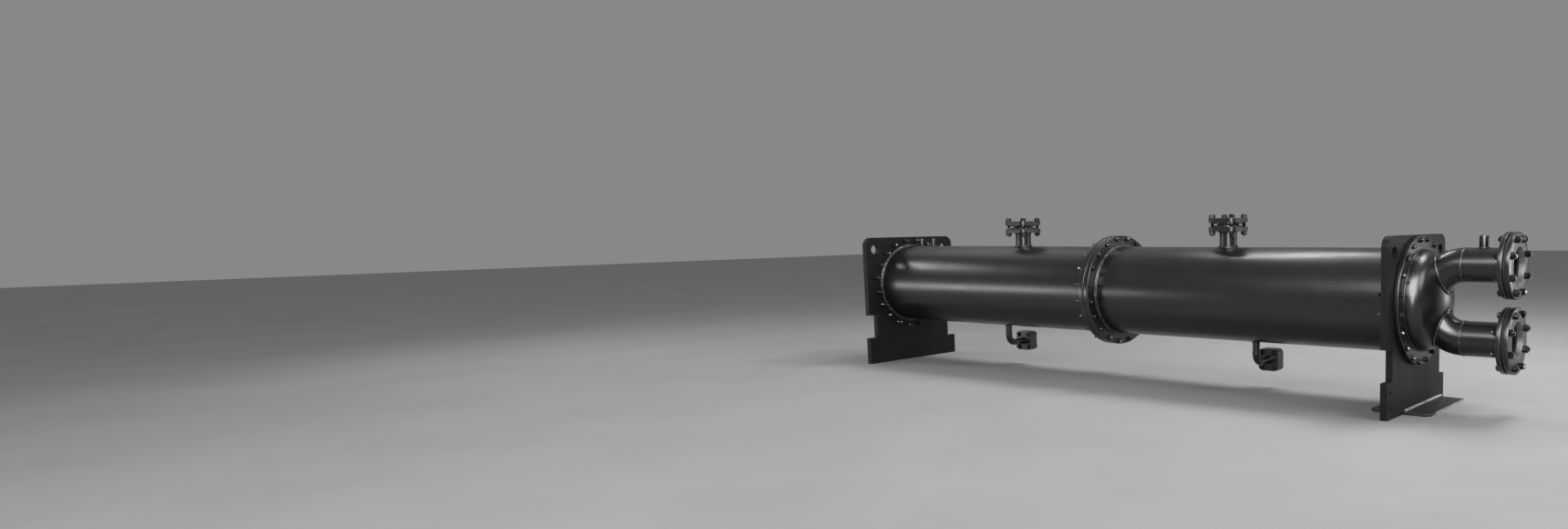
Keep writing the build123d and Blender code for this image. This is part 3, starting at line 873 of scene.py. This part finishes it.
shell_black = paint("shell_black", (0.0125, 0.0125, 0.013), 0.30)
plate_black = paint("plate_black", (0.014, 0.016, 0.016), 0.50, wear_and_glint=0.015, dust=0.10,
                    peel=0.30, shine=0.12)
# The edge strips are painted about four times paler than the plate's faces: partly thin, worn
# paint, partly a painted highlight along the rounded edge.
plate_edge = paint("plate_edge", (0.05, 0.055, 0.055), 0.34, wear_and_glint=0.06, dust=0.10,
                   peel=0.30)
cover_black = paint("cover_black", (0.008, 0.009, 0.0105), 0.28, dust=0.06)
# The cover rings' edge strips are painted paler in the same way: partly worn paint, partly a
# painted highlight.
cover_edge = paint("cover_edge", (0.06, 0.065, 0.07), 0.24, wear_and_glint=0.03, peel=0.20)
nozzle_black = paint("nozzle_black", (0.011, 0.012, 0.0135), 0.25, dust=0.10, peel=0.16)
flange_black = paint("flange_black", (0.012, 0.0135, 0.0145), 0.27, wear_and_glint=0.008, dust=0.12,
                     peel=0.15)
# The flanges' edge strips are painted paler too: partly worn paint, partly a painted highlight.
flange_edge = paint("flange_edge", (0.05, 0.054, 0.058), 0.27, wear_and_glint=0.05, dust=0.10,
                    peel=0.25)
# The weld beads are painted about five times paler than the shell and much worn to grey: partly
# worn paint, partly painted highlights along the beads.
weld_black = paint("weld_black", (0.060, 0.062, 0.064), 0.22, wear_and_glint=0.25, peel=0.40,
                   grain=300)
foot_black = paint("foot_black", (0.022, 0.021, 0.020), 0.50, wear_and_glint=0.06, dust=0.20,
                   peel=0.45, shine=0.25)
print("paints", len(bpy.data.materials))

# %% [markdown]
# ## Bolts
# Nuts and studs were sprayed along with the vessel, but the paint is thin on them: wrenches
# and threads leave bare steel on corners. Metal and paint are mixed by a mask here. The same
# recipe serves twice, with little steel for the flats and much for corners and threads.

# %% Bolts
def bolt_finish(name, share):
    # Share is how much bare steel shows through the paint.
    finish, tree, shader = new_finish(name)
    shader.inputs["Specular IOR Level"].default_value = 0.35
    line = 0.68 - 0.34 * share
    bare_and_glint = ramp(tree, noise(tree, 70, 4), line, line + 0.08)
    steel = blend_colour(tree, ramp(tree, noise(tree, 30, 4), 0.3, 0.7), (0.50, 0.49, 0.46),
                         (0.72, 0.71, 0.69))
    dark = blend_colour(tree, ramp(tree, noise(tree, 12, 4), 0.3, 0.7), (0.007, 0.007, 0.008),
                        (0.014, 0.014, 0.015))
    tree.links.new(blend_colour(tree, bare_and_glint, dark, steel), shader.inputs["Base Color"])
    tree.links.new(bare_and_glint, shader.inputs["Metallic"])
    tree.links.new(ramp(tree, noise(tree, 70, 4), 0.3, 0.7, 0.22, 0.36),
                   shader.inputs["Roughness"])
    bump = node(tree, "ShaderNodeBump", Strength=0.3, Distance=0.0005)
    tree.links.new(noise(tree, 500, 3), bump.inputs["Height"])
    tree.links.new(bump.outputs["Normal"], shader.inputs["Normal"])
    return finish


bolt_black = bolt_finish("bolt_black", 0.06)
bolt_edge = bolt_finish("bolt_edge", 0.42)


# %% [markdown]
# ## Gaskets and bored steel
# The water nozzles' gaskets are pressed red-brown sheet, the others dark. Sheet is dull and
# a little fibrous at its cut rim. The bores of the loose flanges weren't painted: they are
# as the lathe left them, bright, with fine rings from the tool.

# %% Gaskets and bores
def sheet_finish(name, light, dark, roughness):
    finish, tree, shader = new_finish(name)
    fibres = noise(tree, 240, 5)
    tree.links.new(blend_colour(tree, ramp(tree, fibres, 0.35, 0.65), dark, light),
                   shader.inputs["Base Color"])
    tree.links.new(ramp(tree, noise(tree, 60, 3), 0.3, 0.7, roughness * 0.9, roughness),
                   shader.inputs["Roughness"])
    bump = node(tree, "ShaderNodeBump", Strength=0.4, Distance=0.0006)
    tree.links.new(fibres, bump.inputs["Height"])
    tree.links.new(bump.outputs["Normal"], shader.inputs["Normal"])
    return finish


red_sheet = sheet_finish("red_sheet", (0.075, 0.018, 0.013), (0.035, 0.010, 0.009), 0.75)
dark_sheet = sheet_finish("dark_sheet", (0.045, 0.042, 0.040), (0.022, 0.021, 0.020), 0.8)


def bored_finish():
    finish, tree, shader = new_finish("bored_steel")
    rings = noise(tree, 60, 3, stretch=(30, 1, 1))
    tree.links.new(blend_colour(tree, ramp(tree, rings, 0.3, 0.7), (0.42, 0.43, 0.45),
                                (0.62, 0.63, 0.65)), shader.inputs["Base Color"])
    shader.inputs["Metallic"].default_value = 1.0
    tree.links.new(ramp(tree, rings, 0.3, 0.7, 0.28, 0.42), shader.inputs["Roughness"])
    bump = node(tree, "ShaderNodeBump", Strength=0.3, Distance=0.0004)
    tree.links.new(rings, bump.inputs["Height"])
    tree.links.new(bump.outputs["Normal"], shader.inputs["Normal"])
    return finish


bored_steel = bored_finish()
print("gaskets and bores ready")

# %% [markdown]
# ## Bare steel at the feet
# The beads of the foot plates were never painted. Fresh weld metal is pale, with darker
# scale in its hollows. The foot plates' outer edges are scraped pale too, and turn to brown
# rust at the near end; the change from one to the other is worked out from the place along Y.

# %% Bare welds and sawn edges
def bare_weld_finish():
    finish, tree, shader = new_finish("bare_weld")
    scale = ramp(tree, noise(tree, 130, 5), 0.42, 0.62)
    tree.links.new(blend_colour(tree, scale, (0.80, 0.80, 0.78), (0.36, 0.35, 0.33)),
                   shader.inputs["Base Color"])
    shader.inputs["Metallic"].default_value = 0.2
    tree.links.new(ramp(tree, noise(tree, 90, 3), 0.3, 0.7, 0.30, 0.50),
                   shader.inputs["Roughness"])
    bump = node(tree, "ShaderNodeBump", Strength=0.5, Distance=0.001)
    tree.links.new(noise(tree, 260, 4), bump.inputs["Height"])
    tree.links.new(bump.outputs["Normal"], shader.inputs["Normal"])
    return finish


bare_weld = bare_weld_finish()


def sawn_finish():
    finish, tree, shader = new_finish("sawn_edge")
    place = tree.nodes.new("ShaderNodeTexCoord")
    split = tree.nodes.new("ShaderNodeSeparateXYZ")
    tree.links.new(place.outputs["Object"], split.inputs["Vector"])
    rusty = ramp(tree, split.outputs["Y"], -0.070, -0.085)
    speckle = ramp(tree, noise(tree, 120, 5, stretch=(1, 0.2, 1)), 0.35, 0.7)
    steel = blend_colour(tree, speckle, (0.62, 0.66, 0.62), (0.34, 0.37, 0.33))
    rust = blend_colour(tree, speckle, (0.060, 0.040, 0.028), (0.12, 0.065, 0.04))
    tree.links.new(blend_colour(tree, rusty, steel, rust), shader.inputs["Base Color"])
    tree.links.new(ramp(tree, speckle, 0, 1, 0.38, 0.55), shader.inputs["Roughness"])
    bump = node(tree, "ShaderNodeBump", Strength=0.3, Distance=0.0005)
    tree.links.new(speckle, bump.inputs["Height"])
    tree.links.new(bump.outputs["Normal"], shader.inputs["Normal"])
    return finish


sawn_edge = sawn_finish()
print("finishes", [m.name for m in bpy.data.materials if m.use_nodes][-4:])

# %% [markdown]
# ## Which finish goes where
# New pieces and kept solids are dressed alike, by their names. The first rule that fits a
# name counts, so the special cases stand above the general ones.

# %% Dress every piece
RULES = (  # a word in the name, and the finishes for flat faces, edges and cut faces
    ("foot_weld", bare_weld), ("cover_weld", cover_black), ("vent_weld", nozzle_black),
    ("gas_welds", nozzle_black), ("drain_welds", nozzle_black), ("weld", weld_black),
    ("foot", foot_black, plate_edge, sawn_edge), ("studs", bolt_black, bolt_edge),
    ("plug", bolt_black), ("upper_gasket", red_sheet), ("lower_gasket", red_sheet),
    ("gasket", dark_sheet), ("seal", dark_sheet), ("coupling", nozzle_black),
    ("counter_ring", flange_black, flange_edge, bored_steel),
    ("cover", cover_black, cover_edge), ("head", cover_black),
    ("plate", plate_black, plate_edge), ("shell", shell_black),
    ("ring", flange_black, flange_edge), ("flange", flange_black, flange_edge),
    ("pipe", nozzle_black), ("elbow", nozzle_black),
)


def dress(piece):
    finishes = next(rule[1:] for rule in RULES if rule[0] in piece.name)
    if not piece.material_slots:
        piece.data.materials.append(None)
    for i, slot in enumerate(piece.material_slots):
        slot.material = finishes[min(i, len(finishes) - 1)]


shown = [piece for piece in nodes.values() if not piece.hide_render]
for piece in (*fitted, *shown):
    dress(piece)
for stand_in in (FLAT, EDGE, CUT):
    bpy.data.materials.remove(stand_in)
print("dressed", len(fitted), "new pieces and", len(shown), "solids")

# %% [markdown]
# ## Floor
# The object stands on a plain pale floor, which catches its shadow. It is fully matt, so
# that no lamp is mirrored in it.

# %% The floor
bpy.ops.object.select_all(action="DESELECT")
bpy.ops.mesh.primitive_plane_add(size=40, location=(1.5, 0, 0))
floor = bpy.context.object
floor.name = "floor"
finish, tree, shader = new_finish("pale_floor")
tint = ramp(tree, noise(tree, 1.5, 3), 0.3, 0.7)
tree.links.new(blend_colour(tree, tint, (0.46, 0.465, 0.47), (0.50, 0.505, 0.51)),
               shader.inputs["Base Color"])
shader.inputs["Roughness"].default_value = 1.0
shader.inputs["Specular IOR Level"].default_value = 0.0
floor.data.materials.append(finish)

# %% [markdown]
# ## Light
# A glossy black vessel is lit by what it mirrors, so the places of the lamps matter more
# than their strength. The bright bands in the photograph were followed back: from the camera
# to the band, and from there as a mirror sends it on. A lamp stands on that line, and its
# size and power were tried out until the band came close. Some of them count in reflections
# only, because their light would flood the floor; a grey sky and soft lamps do the rest.

# %% The world and the lamps
world = bpy.data.worlds.new("studio")
scene.world = world
world.use_nodes = True
sky = world.node_tree.nodes["Background"]
sky.inputs["Color"].default_value = (0.93, 0.95, 0.97, 1)
sky.inputs["Strength"].default_value = 0.26


def lamp(name, place, target, size, power, mirrored_only=False):
    light = bpy.data.lights.new(name, "AREA")
    light.shape = "RECTANGLE"
    light.size, light.size_y = size
    light.energy = power
    holder = bpy.data.objects.new(name, light)
    scene.collection.objects.link(holder)
    holder.location = place
    aim = Vector(target) - Vector(place)
    holder.rotation_euler = aim.to_track_quat("-Z", "Y").to_euler()
    holder.visible_camera = False
    holder.visible_diffuse = not mirrored_only


# The line along the top of the shell's right half, and the soft light on its left half.
lamp("top_strip", (1.15, 1.0, 2.96), (2.3, 0, 0.6), (1.3, 0.12), 22)
lamp("upper_left_window", (-1.1, 0.8, 2.5), (0.9, 0, 0.5), (1.6, 1.2), 3.5)
# The band along the middle of the left half, and the spot beside the left plate.
lamp("low_left_window", (-1.15, -2.3, 0.28), (0.9, 0, 0.42), (1.9, 0.34), 17, True)
lamp("left_spot", (-2.5, -1.25, 2.3), (0.2, 0, 0.5), (0.7, 0.7), 15)
# The bright patches on the dome and the elbows, and soft light on what faces the camera.
dome = (3.0, 0, 0.45)
lamp("front_window", (4.4, -3.0, 2.6), dome, (3.6, 2.8), 360, True)
lamp("front_fill", (2.0, -4.5, 3.0), (1.8, 0, 0.4), (2.5, 1.5), 60)
lamp("camera_window", (5.0, -4.5, 1.1), (2.4, 0, 0.6), (1.2, 1.4), 80, True)
lamp("right_window", (6.3, -0.4, 2.6), dome, (2.0, 1.6), 60)
lamp("right_panel", (5.8, 2.6, 1.95), dome, (1.1, 0.9), 24)
lamp("behind_above", (3.6, 1.5, 4.2), (3.0, 0, 0.42), (1.5, 1.2), 70)
lamp("behind_low", (5.2, 3.4, 0.4), (3.0, 0, 0.42), (0.7, 0.7), 12, True)
scene.view_settings.view_transform = "Standard"

# %% [markdown]
# ## The end
# The view layer is brought up to date, and the script ends.

# %% The end
bpy.context.view_layer.update()
